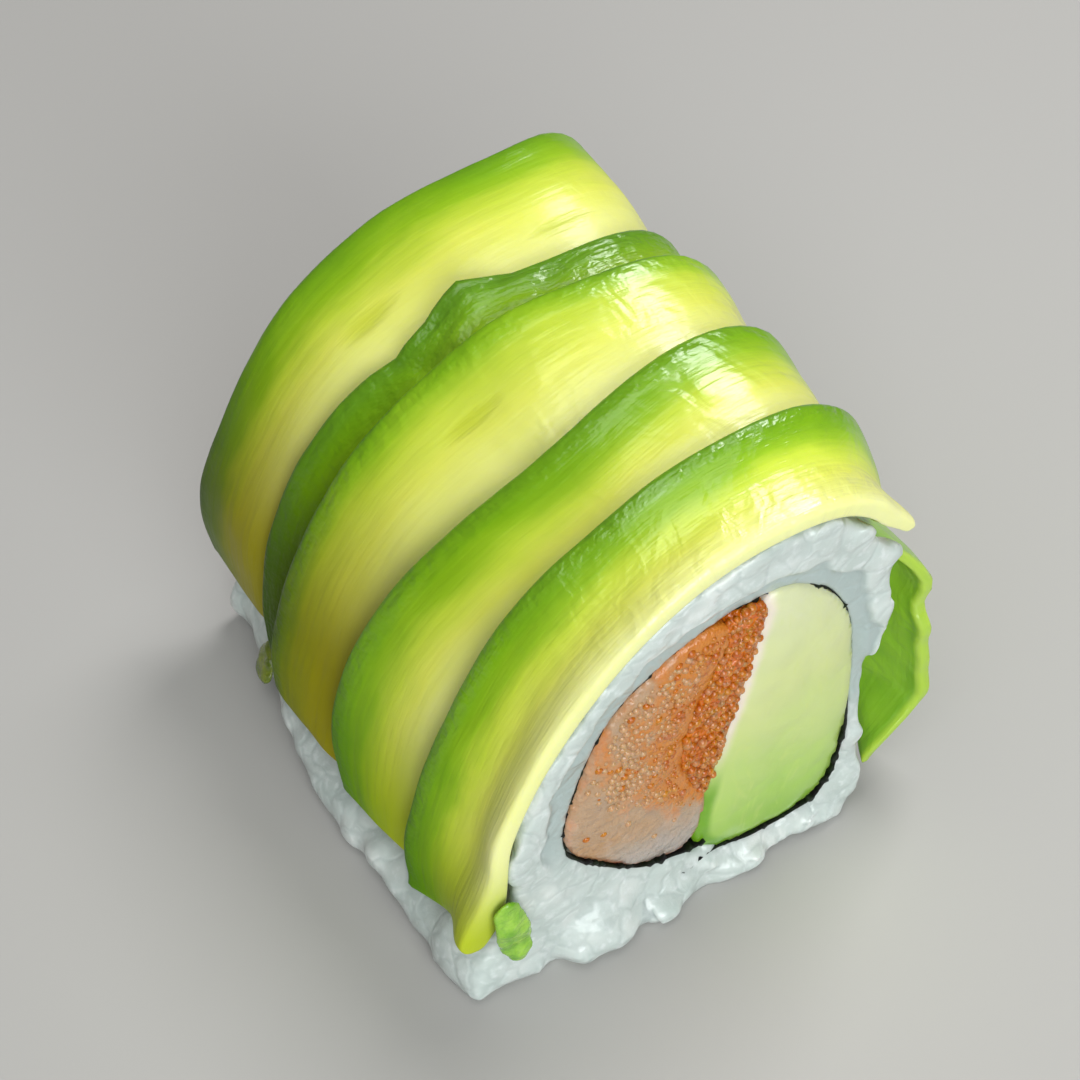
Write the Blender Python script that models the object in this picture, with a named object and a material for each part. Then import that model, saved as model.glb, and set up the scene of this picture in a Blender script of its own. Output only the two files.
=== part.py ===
"""One piece of an inside-out sushi roll (uramaki) under five avocado slices.

The roll lies on its flat underside: +X runs across it, +Y along it from the
front cut face to the back one, and +Z is up. The origin is the middle of the
underside. Sizes are in millimetres up to mesh_object(), which scales to metres.
"""
import math

import bmesh
import bpy
from mathutils import Vector

MM = 0.001
ROLL_NAME = "uramaki_roll"

# The roll
ROLL_LENGTH = 47.2
FACE = ROLL_LENGTH / 2
GAP = 0.3
CUTTER_SPARE = 2.0

# The outer line across the roll: upright sides to the waist, a leaning arch above it
WAIST_HEIGHT = 20.0
LEFT_HALF_WIDTH = 18.1
RIGHT_HALF_WIDTH = 18.7
ARCH_CENTRE = 0.8
ARCH_RISE = 25.6
ARCH_POWER = 2.3
ARCH_LEAN = 0.31
RIGHT_FOOT_SPREAD = 0.6
BACK_EXTRA_WIDTH = 1.7
BACK_DROP = 0.9
BACK_FOOT_TUCK = 5.4
FOOT_CORNER = 3.0
FOOT_TUCK = 1.6

# How far the rice lies below that line, under the slices
DEPTH_AT_FACE = 2.1
DEPTH_UNDER_LAPS = 4.3
DEPTH_AT_RIGHT = 0.7
TIP_SEAT = 1.3
TIP_SEAT_SHARE = 0.11
TIP_SEAT_HALF_SPAN = 0.09
SHOULDER_BULGE = 2.7
SHOULDER_SHARE = 0.58
SHOULDER_HALF_SPAN = 0.18
SHOULDER_RUN = 9.0
GRAIN_DENT = 0.35
GRAIN_PITCH = 2.9
RICE_STEPS_ROUND = 72
RICE_STEPS_ALONG = 13
FACE_ROUNDING = 0.6

# Centre and half sizes of the rounded clumps of grains along the front foot
FOOT_LOBES = (
    ((-15.6, -19.4, 2.0), (5.2, 5.1, 4.5)),
    ((-7.4, -20.2, 2.2), (5.4, 5.8, 5.0)),
    ((-0.4, -21.0, 1.2), (4.6, 4.2, 3.2)),
    ((7.0, -21.8, 1.0), (5.0, 2.9, 2.2)),
    ((12.5, -22.2, 1.6), (2.3, 1.9, 2.0)),
    ((16.8, -22.2, 1.6), (2.7, 1.9, 2.1)),
)

# The seaweed sheet and the fillings inside it
NORI_THICKNESS = 0.4
NORI_PATH = (
    (3.2, 6.0), (-2.5, 7.2), (-7.0, 10.9), (-10.6, 16.0), (-9.4, 23.5), (-6.4, 30.4), (-1.2, 34.6),
    (5.6, 36.8), (12.0, 35.3), (16.2, 29.4), (17.5, 20.0), (17.0, 9.2), (14.6, 4.2), (9.4, 3.4),
    (4.6, 4.0), (1.2, 2.9), (-1.2, 1.9),
)
PRAWN_OUTLINE = (
    (-9.8, 16.4), (-8.6, 23.4), (-5.8, 29.9), (-1.0, 33.9), (3.2, 35.3), (3.9, 33.2), (1.4, 27.0),
    (0.0, 21.0), (1.0, 16.4), (2.6, 13.4), (2.1, 9.0), (0.9, 7.5), (-2.4, 8.1), (-6.6, 11.7),
)
ROE_OUTLINE = (
    (4.3, 35.6), (7.6, 36.0), (7.0, 31.0), (5.4, 23.6), (3.8, 17.0), (3.0, 14.0), (1.5, 16.6),
    (0.5, 21.0), (1.9, 26.9), (4.3, 32.6),
)
FILLING_OUTLINE = (
    (8.2, 36.0), (11.6, 34.7), (15.6, 29.0), (16.8, 20.0), (16.3, 9.6), (14.1, 5.0), (9.4, 4.2),
    (5.2, 4.8), (2.9, 7.0), (3.3, 12.6), (4.7, 18.6), (6.2, 25.0), (7.5, 31.0),
)

# The slices over the top, back to front: each lies with its rear edge on the one before it.
# Edges are given as Y at the stations, which are shares of the way round from the left foot
# to the right one. Ends are shares too: left front, left rear, right front, right rear corner.
# A flare is how high the front right corner stands off, the shares it rises between, how far
# across it dies away, and how much of its height is left at the foot.
EDGE_STATIONS = (0.05, 0.15, 0.25, 0.35, 0.45, 0.55, 0.65, 0.92)
SLICES = (
    {
        "name": "avocado_slice_1", "thickness": (0.8, 1.9), "ends": (0.078, 0.092, 0.905, 0.880),
        "front": (9.0, 9.2, 9.0, 7.8, 6.4, 5.7, 5.6, 5.8), "rear": (24.6, 24.4, 23.3, 23.8, 23.2, 21.1, 23.0, 23.4),
    },
    {
        "name": "avocado_slice_2", "thickness": (0.8, 1.3), "ends": (0.074, 0.080, 0.860, 0.850),
        "front": (4.2, 4.1, 3.8, 2.9, 2.0, 1.8, 1.4, -0.6), "rear": (12.4, 12.4, 12.5, 11.8, 9.8, 8.3, 8.8, 9.2),
        "fold": 1.5,
    },
    {
        "name": "avocado_slice_3", "thickness": (1.0, 1.7), "ends": (0.060, 0.076, 0.890, 0.870),
        "front": (-4.2, -4.6, -5.4, -7.5, -9.4, -8.2, -7.6, -9.2), "rear": (9.1, 8.7, 7.8, 7.2, 6.0, 3.9, 3.5, 1.5),
    },
    {
        "name": "avocado_slice_4", "thickness": (1.0, 1.7), "ends": (0.062, 0.066, 0.974, 0.900),
        "front": (-16.2, -16.1, -16.4, -17.9, -19.2, -18.0, -18.1, -23.2),
        "rear": (-2.4, -1.2, -2.6, -4.9, -6.6, -5.8, -5.6, -6.9),
        "point": 0.3, "flare": (6.4, 0.70, 0.79, 0.8, 0.12),
    },
    {
        "name": "avocado_slice_5", "thickness": (1.3, 1.7), "ends": (0.076, 0.062, 0.674, 0.716),
        "front": (-23.6, -23.6, -23.6, -23.6, -23.6, -23.6, -23.6, -23.6),
        "rear": (-12.8, -13.0, -13.7, -14.2, -15.2, -15.6, -15.2, -14.6),
        "tip": 2.0, "point": 0.1, "flare": (0.5, 0.60, 0.67, 1.6, 1.0),
    },
)
SLICE_STEPS = 32
LAP_SPARE = 0.15
LAP_EASING = 1.3
FLARE_HOLD = 0.125
FLARE_RETURN = 0.06
FOLD_SHARE = 0.46
FOLD_HALF_SPAN = 0.065

# Points round a slice's section: share of the way across, and level from underside to top
SLICE_PROFILE = [(0.0, 0.0), (0.3, 0.0), (0.65, 0.0), (0.99, 0.0)]
SLICE_PROFILE += [(1.010, 0.25), (1.014, 0.55), (1.008, 0.85)]
SLICE_PROFILE += [(0.98, 1.0), (0.8, 1.0), (0.6, 1.0), (0.4, 1.0), (0.2, 1.0), (0.0, 1.0)]

# Width and thickness of the first rings at each end, which round it off
SLICE_ENDS = ((0.82, 0.55), (0.94, 0.9), (0.99, 1.0), (1.0, 1.0))

# Torn bits of avocado: name, centre, half sizes, way up and colour
CRUMB_BEND = 0.18
CRUMBS = (
    ("avocado_crumb_front", (-16.2, -24.45, 10.2), (0.6, 1.7, 4.7), (-0.16, 0.0, 1.0), (0.36, 0.58, 0.06)),
    ("avocado_crumb_side", (-18.5, 14.2, 4.2), (1.8, 0.5, 1.9), (0.5, -0.13, 1.0), (0.18, 0.26, 0.02)),
)


def smooth_step(value, low, high):
    """Return 0 below low, 1 above high and an even S between them."""
    share = min(max((value - low) / (high - low), 0.0), 1.0)
    return share * share * (3.0 - 2.0 * share)


def bump(value, centre, half_span):
    """Return 1 at the centre, falling evenly to 0 half a span away."""
    away = min(abs(value - centre) / half_span, 1.0)
    return 1.0 - smooth_step(away, 0.0, 1.0)


def blend(first, second, share):
    return first + (second - first) * share


def smooth_curve(points, steps, closed):
    """Return points on a Catmull-Rom curve through the given ones."""
    count = len(points)
    spans = count if closed else count - 1
    curve = []
    for span in range(spans):
        if closed:
            around = [points[(span + k) % count] for k in (-1, 0, 1, 2)]
        else:
            around = [points[min(max(span + k, 0), count - 1)] for k in (-1, 0, 1, 2)]
        a, b, c, d = (Vector(point) for point in around)
        for step in range(steps):
            t = step / steps
            curve.append(0.5 * (2 * b + (c - a) * t + (2 * a - 5 * b + 4 * c - d) * t ** 2
                                + (3 * b - a - 3 * c + d) * t ** 3))
    if not closed:
        curve.append(Vector(points[-1]))
    return curve


def collection(name):
    made = bpy.data.collections.new(name)
    bpy.context.scene.collection.children.link(made)
    return made


def material(name, colour, roughness):
    made = bpy.data.materials.new(name)
    made.use_nodes = True
    shader = made.node_tree.nodes["Principled BSDF"]
    shader.inputs["Base Color"].default_value = (*colour, 1.0)
    shader.inputs["Roughness"].default_value = roughness
    shader.inputs["Metallic"].default_value = 0.0
    made.diffuse_color = (*colour, 1.0)
    return made


def mesh_object(name, mesh_edit, finish, owner):
    """Scale the edited mesh to metres and place it as an object of its own."""
    bmesh.ops.scale(mesh_edit, vec=(MM, MM, MM), verts=mesh_edit.verts)
    bmesh.ops.recalc_face_normals(mesh_edit, faces=mesh_edit.faces)
    mesh = bpy.data.meshes.new(name)
    mesh_edit.to_mesh(mesh)
    mesh_edit.free()
    made = bpy.data.objects.new(name, mesh)
    owner.objects.link(made)
    if finish:
        mesh.materials.append(finish)
        mesh.shade_smooth()
        mesh.set_sharp_from_angle(angle=math.radians(50))
    return made


def loft(rings):
    """Return a closed mesh through rings of equal count, with both ends capped."""
    mesh_edit = bmesh.new()
    placed = [[mesh_edit.verts.new(point) for point in ring] for ring in rings]
    for ring, following in zip(placed, placed[1:]):
        for k, corner in enumerate(ring):
            after = (k + 1) % len(ring)
            mesh_edit.faces.new((corner, ring[after], following[after], following[k]))
    mesh_edit.faces.new(placed[0])
    mesh_edit.faces.new(placed[-1])
    return mesh_edit


def prism(outline, front, back):
    """Return an outline of (x, z) points run straight from front to back."""
    return loft([[(x, y, z) for x, z in outline] for y in (front, back)])


def rounded_lump(centre, radii, segments):
    """Return a closed ellipsoid."""
    lump = bmesh.new()
    bmesh.ops.create_uvsphere(lump, u_segments=segments, v_segments=8, radius=1.0)
    bmesh.ops.scale(lump, vec=radii, verts=lump.verts)
    bmesh.ops.translate(lump, vec=centre, verts=lump.verts)
    return lump


# --- the outer line across the roll ---

def side_point(height, right, share_back):
    """Return x on an upright side, below the waist."""
    below = (WAIST_HEIGHT - height) / WAIST_HEIGHT
    tuck = FOOT_TUCK * max(0.0, 1.0 - height / FOOT_CORNER) ** 2
    if right:
        return ARCH_CENTRE + RIGHT_HALF_WIDTH + RIGHT_FOOT_SPREAD * below - tuck
    flare = 0.75 * ARCH_LEAN * WAIST_HEIGHT * below * (1.0 - 0.2 * below)
    tuck += BACK_FOOT_TUCK * smooth_step(share_back, 0.5, 0.95) * below ** 2
    return ARCH_CENTRE - LEFT_HALF_WIDTH - BACK_EXTRA_WIDTH * share_back - flare + tuck


def arch_point(angle, share_back):
    """Return (x, z) on the arch, at an angle of 180 degrees on the left to 0 on the right."""
    width = RIGHT_HALF_WIDTH if math.cos(angle) > 0 else LEFT_HALF_WIDTH + BACK_EXTRA_WIDTH * share_back
    rise = ARCH_RISE - BACK_DROP * share_back
    across = math.copysign(abs(math.cos(angle)) ** (2 / ARCH_POWER), math.cos(angle))
    up = rise * abs(math.sin(angle)) ** (2 / ARCH_POWER)
    lean = ARCH_LEAN * up * (0.75 + 0.25 * up / rise)
    return ARCH_CENTRE + lean + width * across, WAIST_HEIGHT + up


def outer_line(share_back):
    """Return the outer line from the left foot over the top to the right foot."""
    heights = [WAIST_HEIGHT * k / 24 for k in range(24)]
    left = [(side_point(height, False, share_back), height) for height in heights]
    right = [(side_point(height, True, share_back), height) for height in reversed(heights)]
    arch = [arch_point(math.pi * (1 - k / 160), share_back) for k in range(161)]
    return [Vector(point) for point in left + arch + right]


class Section:
    """The outer line at one place along the roll, read by its share of the way round."""

    known = {}

    @classmethod
    def at(cls, y):
        """Return the section at this Y, made once for each hundredth of a millimetre."""
        key = round(y, 2)
        if key not in cls.known:
            cls.known[key] = cls(key)
        return cls.known[key]

    def __init__(self, y):
        self.y = y
        self.line = outer_line((y + FACE) / ROLL_LENGTH)
        self.along = [0.0]
        for before, after in zip(self.line, self.line[1:]):
            self.along.append(self.along[-1] + (after - before).length)

    def place(self, share):
        """Return the point at this share of the way round, and the way out from it."""
        behind_face = smooth_step(self.y, -FACE, -FACE + SHOULDER_RUN)
        shoulder = SHOULDER_BULGE * behind_face * bump(share, SHOULDER_SHARE, SHOULDER_HALF_SPAN)
        wanted = min(max(share, 0.0), 1.0) * self.along[-1]
        k = 0
        while k < len(self.line) - 2 and self.along[k + 1] < wanted:
            k += 1
        span = self.along[k + 1] - self.along[k]
        point = self.line[k].lerp(self.line[k + 1], (wanted - self.along[k]) / span)
        ahead = self.line[min(k + 4, len(self.line) - 1)] - self.line[max(k - 3, 0)]
        out = Vector((-ahead.y, ahead.x)).normalized()
        return point + out * shoulder, out

    def off_rice(self, share, height):
        """Return the (x, y, z) point at this height over the rice."""
        point, out = self.place(share)
        placed = point + out * (height - rice_depth(share, self.y))
        return Vector((placed.x, self.y, placed.y))


def rice_depth(share, y):
    """Return how far the rice lies inside the outer line."""
    from_face = smooth_step(y, -FACE, -FACE + 4.6) * (1.0 - 0.5 * smooth_step(y, 9.0, 17.0))
    to_foot = smooth_step(share, 0.015, 0.075)
    to_right = smooth_step(share, 0.64, 0.80)
    laps = blend(DEPTH_UNDER_LAPS, DEPTH_AT_RIGHT, to_right)
    at_face = DEPTH_AT_FACE * (1.0 - 0.35 * smooth_step(0.35 - share, 0.0, 0.2))
    at_face *= 1.0 - smooth_step(share, 0.64, 0.70)
    at_face += TIP_SEAT * bump(share, TIP_SEAT_SHARE, TIP_SEAT_HALF_SPAN)
    return blend(at_face, laps, from_face) * to_foot * (1.0 - smooth_step(share, 0.93, 0.99))


# --- rice ---

def grain_dent(turn, y):
    """Return how deep the rice is dented here, between its grains."""
    wave = math.sin(turn * 2 * math.pi / GRAIN_PITCH + 0.9 * math.sin(y / 3.1))
    cross = math.sin(y * 2 * math.pi / (GRAIN_PITCH * 1.7) + 1.3 * math.sin(turn / 4.3))
    return GRAIN_DENT * (0.5 + 0.3 * wave + 0.2 * cross)


def rice_ring(y, inset):
    """Return the rice's closed outline at one place along the roll."""
    section = Section.at(y)
    length = section.along[-1]
    ring = []
    for k in range(RICE_STEPS_ROUND + 1):
        share = k / RICE_STEPS_ROUND
        bare = max(1.0 - smooth_step(share, 0.0, 0.05), smooth_step(share, 0.94, 1.0))
        dent = grain_dent(share * length, y) * (1.0 + 0.8 * bare)
        point = section.off_rice(share, -inset - dent)
        point.z = max(point.z, 0.0)
        ring.append(point)
    ring[0].z = ring[-1].z = 0.0
    for k in range(1, 10):
        ring.append(ring[RICE_STEPS_ROUND].lerp(ring[0], k / 10))
    return ring


def make_rice(finish, owner, cutters):
    """The rice: one packed body round the seaweed, with lobes of grains at its foot."""
    inner = FACE - FACE_ROUNDING
    rings = [rice_ring(-FACE, FACE_ROUNDING)]
    for k in range(RICE_STEPS_ALONG + 1):
        rings.append(rice_ring(blend(-inner, inner, k / RICE_STEPS_ALONG), 0.0))
    rings.append(rice_ring(FACE, FACE_ROUNDING))
    rice = mesh_object("rice", loft(rings), finish, owner)
    for number, (centre, radii) in enumerate(FOOT_LOBES):
        lobe = rounded_lump(centre, radii, 14)
        for vert in lobe.verts:
            vert.co.z = max(vert.co.z, 0.0)
        bmesh.ops.remove_doubles(lobe, verts=lobe.verts, dist=0.01)
        bmesh.ops.dissolve_degenerate(lobe, edges=lobe.edges, dist=0.01)
        add_boolean(rice, mesh_object(f"foot_lobe_{number}", lobe, None, cutters), "UNION")
    room = prism(nori_room(), -FACE - CUTTER_SPARE, FACE + CUTTER_SPARE)
    add_boolean(rice, mesh_object("filling_room", room, None, cutters), "DIFFERENCE")
    slot = ribbon(nori_tail(), NORI_THICKNESS + 2 * GAP, -FACE - CUTTER_SPARE, FACE + CUTTER_SPARE)
    add_boolean(rice, mesh_object("tail_slot", slot, None, cutters), "DIFFERENCE")


def add_boolean(target, tool, operation):
    tool.hide_render = True
    tool.display_type = "WIRE"
    cut = target.modifiers.new(tool.name, "BOOLEAN")
    cut.operation = operation
    cut.solver = "EXACT"
    cut.object = tool


# --- seaweed ---

def nori_line():
    return smooth_curve(NORI_PATH, 4, closed=False)


def nori_tail():
    """Return the end of the seaweed that runs on into the rice."""
    return nori_line()[-13:]


def line_sides(line, thickness):
    """Return the two sides of a band of this thickness along a line of (x, z) points."""
    left, right = [], []
    for k, point in enumerate(line):
        along = (line[min(k + 1, len(line) - 1)] - line[max(k - 1, 0)]).normalized()
        across = Vector((-along.y, along.x)) * thickness / 2
        left.append(point + across)
        right.append(point - across)
    return left, right


def ribbon(line, thickness, front, back):
    left, right = line_sides(line, thickness)
    return prism(left + right[::-1], front, back)


def nori_room():
    """Return the outline, with room round it, of the ring that the seaweed closes."""
    ring = nori_line()[:-10]
    return line_sides(ring, NORI_THICKNESS + 2 * GAP)[0][2:]


def make_nori(finish, owner):
    """The seaweed: one sheet rolled once round the fillings, its end left in the rice."""
    mesh_object("nori", ribbon(nori_line(), NORI_THICKNESS, -FACE, FACE), finish, owner)


# --- fillings ---

def make_filling(name, outline, finish, owner):
    """A strip of filling that runs from cut face to cut face."""
    curve = smooth_curve(outline, 3, closed=True)
    mesh_object(name, prism(curve, -FACE, FACE), finish, owner)


# --- avocado slices ---

class Slice:
    """One slice's edges, and its heights over the rice."""

    def __init__(self, shape, behind):
        self.name = shape["name"]
        self.ends = shape["ends"]
        self.thickness = shape["thickness"]
        self.fold = shape.get("fold", 0.0)
        self.tip = shape.get("tip", 0.0)
        self.point = shape.get("point", 0.5)
        self.flare = shape.get("flare", (0.0, 0.0, 1.0, 1.0, 1.0))
        self.behind = behind
        self.edges = {}
        for edge in ("front", "rear"):
            self.edges[edge] = smooth_curve(list(zip(EDGE_STATIONS, shape[edge])), 8, closed=False)

    def edge(self, edge, share):
        """Return the Y of an edge at this share of the way round."""
        line = self.edges[edge]
        inside = min(max(share, line[0].x), line[-1].x)
        k = 0
        while k < len(line) - 2 and line[k + 1].x < inside:
            k += 1
        y = blend(line[k].y, line[k + 1].y, (inside - line[k].x) / (line[k + 1].x - line[k].x))
        if edge == "rear":
            y += self.fold * bump(share, FOLD_SHARE, FOLD_HALF_SPAN)
        return y

    def thickness_at(self, share, across):
        """Return how thick it is: thin in front, thick behind, and swollen at a bare tip."""
        front, rear = self.thickness
        swell = self.tip * (1.0 - smooth_step(share, 0.08, 0.17)) * (1.0 - smooth_step(across, 0.0, 0.7))
        return blend(front, rear, smooth_step(across, 0.0, 0.45)) + swell

    def lifted(self, share, across):
        """Return how far its front corner on the right stands off the roll."""
        height, low, high, across_span, kept = self.flare
        let_go = high + FLARE_HOLD
        height *= smooth_step(share, low, high) * blend(1.0, kept, smooth_step(share, let_go, let_go + FLARE_RETURN))
        return height * (1.0 - smooth_step(across, 0.0, across_span))

    def underside(self, share, across):
        """Return the height of its underside: on the rice in front, on the slice behind at its rear."""
        if self.behind is None:
            return GAP
        rest = self.behind.top(share, self.edge("rear", share)) + GAP + LAP_SPARE
        rest += 0.5 * self.fold * bump(share, FOLD_SHARE, FOLD_HALF_SPAN)
        return GAP + (rest - GAP) * (1.0 - (1.0 - across) ** LAP_EASING) + self.lifted(share, across)

    def top(self, share, y):
        """Return the height of its top at this place."""
        front, rear = self.edge("front", share), self.edge("rear", share)
        across = min(max((y - front) / (rear - front), 0.0), 1.0)
        return self.underside(share, across) + self.thickness_at(share, across)

    def ring(self, along, width, fullness):
        """Return one closed section; width and fullness below 1 round the slice off at its ends."""
        front_left, rear_left, front_right, rear_right = self.ends
        ring = []
        for across, level in SLICE_PROFILE:
            inside = min(across, 1.0)
            narrow = self.point + (inside - self.point) * width
            left_end = blend(front_left, rear_left, inside)
            right_end = blend(front_right, rear_right, inside)
            share = blend(left_end, right_end, along)
            front, rear = self.edge("front", share), self.edge("rear", share)
            y = max(blend(front, rear, narrow) + 40.0 * (across - inside), -FACE)
            thick = self.thickness_at(share, inside)
            height = self.underside(share, narrow) + thick * (0.5 + (level - 0.5) * fullness)
            ring.append(Section.at(y).off_rice(share, height))
        return ring


def make_slice(slice_, finish, owner):
    """One avocado slice, laid over the rice with its rear edge on the slice behind it."""
    rings = []
    for k in range(SLICE_STEPS + 1):
        width, fullness = SLICE_ENDS[min(k, SLICE_STEPS - k, len(SLICE_ENDS) - 1)]
        rings.append(slice_.ring(k / SLICE_STEPS, width, fullness))
    mesh_object(slice_.name, loft(rings), finish, owner)


def make_crumb(name, centre, radii, tilt, finish, owner):
    """A small torn bit of avocado that lies against the rice."""
    crumb = rounded_lump((0, 0, 0), radii, 12)
    for vert in crumb.verts:
        vert.co.x += CRUMB_BEND * math.sin(1.4 * vert.co.z)
    turn = Vector(tilt).to_track_quat("Z", "Y").to_matrix()
    bmesh.ops.rotate(crumb, cent=(0, 0, 0), matrix=turn, verts=crumb.verts)
    bmesh.ops.translate(crumb, vec=centre, verts=crumb.verts)
    mesh_object(name, crumb, finish, owner)


def main():
    for existing in list(bpy.data.objects):
        bpy.data.objects.remove(existing, do_unlink=True)
    roll = collection(ROLL_NAME)
    cutters = collection("cutters")

    make_rice(material("rice", (0.72, 0.77, 0.75), 0.35), roll, cutters)
    make_nori(material("nori", (0.010, 0.018, 0.010), 0.5), roll)
    make_filling("prawn", PRAWN_OUTLINE, material("prawn", (0.42, 0.22, 0.12), 0.3), roll)
    make_filling("roe", ROE_OUTLINE, material("roe", (0.58, 0.13, 0.01), 0.2), roll)
    flesh = material("filling_avocado", (0.55, 0.66, 0.25), 0.35)
    make_filling("avocado_filling", FILLING_OUTLINE, flesh, roll)

    behind = None
    for shape in SLICES:
        behind = Slice(shape, behind)
        make_slice(behind, material(behind.name, (0.42, 0.60, 0.05), 0.3), roll)
    for name, centre, radii, tilt, colour in CRUMBS:
        make_crumb(name, centre, radii, tilt, material(name, colour, 0.35), roll)


main()
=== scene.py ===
"""One piece of an inside-out sushi roll (uramaki) under five avocado slices, dressed.

Each piece is made over its plain solid, in the same frame: +X across the roll, +Y along it
from the front cut face to the back one, +Z up. Shapes are worked out in millimetres.
"""

import math
import random
from bisect import bisect_right

import bmesh
import bpy
from mathutils import Matrix, Vector
from mathutils.bvhtree import BVHTree
from mathutils.noise import noise


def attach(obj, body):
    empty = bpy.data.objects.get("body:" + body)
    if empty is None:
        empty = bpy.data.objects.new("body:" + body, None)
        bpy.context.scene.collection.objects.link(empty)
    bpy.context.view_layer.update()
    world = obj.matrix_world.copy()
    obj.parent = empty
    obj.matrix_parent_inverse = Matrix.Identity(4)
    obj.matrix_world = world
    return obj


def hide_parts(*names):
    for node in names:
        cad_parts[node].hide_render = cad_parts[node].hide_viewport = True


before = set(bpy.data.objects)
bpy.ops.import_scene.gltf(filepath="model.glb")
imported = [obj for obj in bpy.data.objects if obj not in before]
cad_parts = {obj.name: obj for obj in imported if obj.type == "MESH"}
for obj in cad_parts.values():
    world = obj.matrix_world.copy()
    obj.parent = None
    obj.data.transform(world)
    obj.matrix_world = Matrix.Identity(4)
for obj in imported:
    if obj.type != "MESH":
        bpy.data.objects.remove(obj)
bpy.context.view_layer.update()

MM = 0.001


# --- Seaweed ---
# One sheet of toasted nori, rolled once round the fillings before the rice went on. It is
# damp and almost black, and its loose end runs on into the rice. The knife left its edge
# ragged, and it shows as dark teeth wherever two grains leave a gap.

ROLL_LENGTH = 47.2
FACE = ROLL_LENGTH / 2
RECESS = 0.3  # how far the fillings lie inside the cut faces
STEP_DEPTH = 0.6  # how far the rice and seaweed over the fillings lie back
STEP_HEIGHTS = (12.0, 18.0)
NORI_THICKNESS = 0.32
NORI_SPARE = 0.02
NORI_SET_BACK = 0.22
NORI_INNER_SET_BACK = 0.25
NORI_WAVES = 0.5
NORI_WAVE_DEPTH = 0.15
TEETH = 1.5  # to a millimetre
TOOTH_GAP = 0.05
TOOTH_REACH = 1.3
TOOTH_ROOT = 2.0
TOOTH_RUN = 1.6
NORI_STEPS_ROUND = 40
NORI_STEPS_LONG = 32
NORI_CROWDING = 0.8
NORI_PATH = (
    (3.2, 6.0), (-2.5, 7.2), (-7.0, 10.9), (-10.6, 16.0), (-9.4, 23.5), (-6.4, 30.4), (-1.2, 34.6),
    (5.6, 36.8), (12.0, 35.3), (16.2, 29.4), (17.5, 20.0), (17.0, 9.2), (14.6, 4.2), (9.4, 3.4),
    (4.6, 4.0), (1.2, 2.9), (-1.2, 1.9),
)


def paint(red, green, blue):
    """Return the linear colour of these display values from 0 to 255."""
    shifted = [(level / 255 + 0.055) / 1.055 for level in (red, green, blue)]
    linear = [part ** 2.4 if part > 0.0904 else part * 1.055 / 12.92 for part in shifted]
    return (*linear, 1.0)


def ease(value, low, high):
    """Return 0 below low, 1 above high and an even S between them."""
    share = min(max((value - low) / (high - low), 0.0), 1.0)
    return share * share * (3.0 - 2.0 * share)


def bump(value, centre, half_span):
    """Return 1 at the centre, falling evenly to 0 half a span away."""
    return 1.0 - ease(abs(value - centre) / half_span, 0.0, 1.0)


def blend(first, second, share):
    """Return the value this share of the way from the first to the second."""
    return first + (second - first) * share


def smooth_curve(points, steps):
    """Return points on an open Catmull-Rom curve through the given ones."""
    curve = []
    for span in range(len(points) - 1):
        a, b, c, d = (Vector(points[min(max(span + k, 0), len(points) - 1)]) for k in (-1, 0, 1, 2))
        for step in range(steps):
            t = step / steps
            curve.append(0.5 * (2 * b + (c - a) * t + (2 * a - 5 * b + 4 * c - d) * t ** 2
                                + (3 * b - a - 3 * c + d) * t ** 3))
    curve.append(Vector(points[-1]))
    return curve


def flat_slab(length, width, thickness, steps_long, steps_wide, crowding):
    """Return a flat slab with its lines crowded to its rims and a UV map of shares."""
    slab = bmesh.new()
    bmesh.ops.create_grid(slab, x_segments=steps_long, y_segments=steps_wide, size=0.5)
    bmesh.ops.translate(slab, vec=(0.5, 0.5, 0.0), verts=slab.verts)
    for vert in slab.verts:
        for axis in (0, 1):
            vert.co[axis] -= crowding * math.sin(2 * math.pi * vert.co[axis]) / (2 * math.pi)
    bmesh.ops.scale(slab, vec=(length, width, 1.0), verts=slab.verts)
    bmesh.ops.solidify(slab, geom=slab.faces[:], thickness=thickness)
    lowest = min(vert.co.z for vert in slab.verts)
    bmesh.ops.translate(slab, vec=(0.0, 0.0, -lowest), verts=slab.verts)
    lay = slab.loops.layers.uv.new("lay")
    for face in slab.faces:
        for loop in face.loops:
            loop[lay].uv = (loop.vert.co.x / length, loop.vert.co.y / width)
    return slab


def as_mesh(name, edited):
    """Return the edited mesh as a mesh, and free it."""
    mesh = bpy.data.meshes.new(name)
    edited.to_mesh(mesh)
    edited.free()
    return mesh


def placed(name, data):
    """Return a new object of this data, put in the scene."""
    made = bpy.data.objects.new(name, data)
    bpy.context.scene.collection.objects.link(made)
    return made


def finished(name, edited, finish, slot, *nodes):
    """Make the edited mesh a finished piece, in metres, that stands for its solids."""
    if edited.calc_volume(signed=True) < 0.0:
        bmesh.ops.reverse_faces(edited, faces=edited.faces)
    bmesh.ops.scale(edited, vec=(MM, MM, MM), verts=edited.verts)
    mesh = as_mesh(name, edited)
    mesh.materials.append(finish)
    mesh.shade_smooth()
    piece = placed(name, mesh)
    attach(piece, "root")
    if nodes:
        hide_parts(*nodes)
    return piece


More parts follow.
